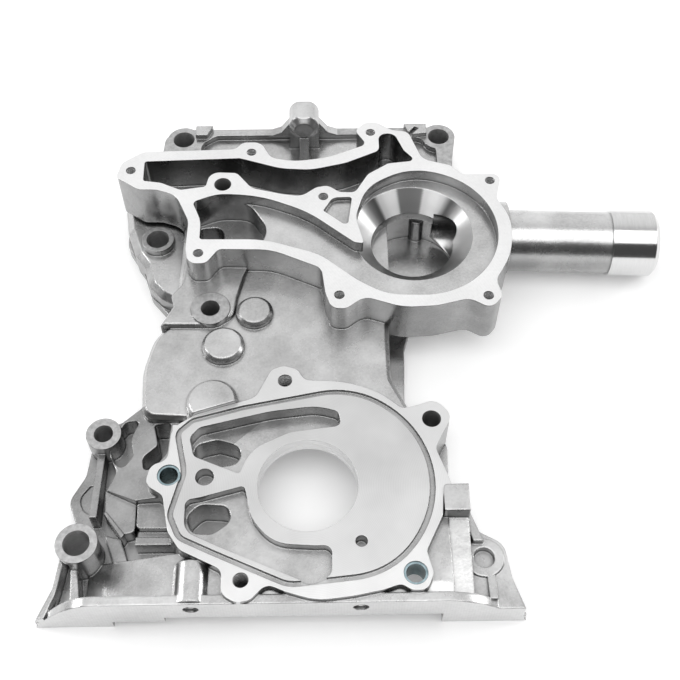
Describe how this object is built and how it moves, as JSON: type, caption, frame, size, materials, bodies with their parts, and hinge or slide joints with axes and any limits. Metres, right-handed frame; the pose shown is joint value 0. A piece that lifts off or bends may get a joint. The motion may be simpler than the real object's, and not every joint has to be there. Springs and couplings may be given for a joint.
{
  "type": "timing cover",
  "caption": "Cast aluminium engine timing cover with a water-pump cavity and hose neck above and a machined oil-pump face around the crankshaft opening below.",
  "frame": {"origin": "crankshaft axis at the oil-pump face", "axes": "+Z out of the front, along the crankshaft axis and away from the block; +Y towards the cylinder head; +X towards the hose neck"},
  "size_m": [0.3013, 0.2825, 0.044],
  "materials": {
    "casting": "cast, with milled faces",
    "sleeve": "zinc plated"
  },
  "bodies": {
    "root": {"cover_casting": "casting", "dowel_sleeve_left": "sleeve", "dowel_sleeve_right": "sleeve"}
  },
  "joints": []
}
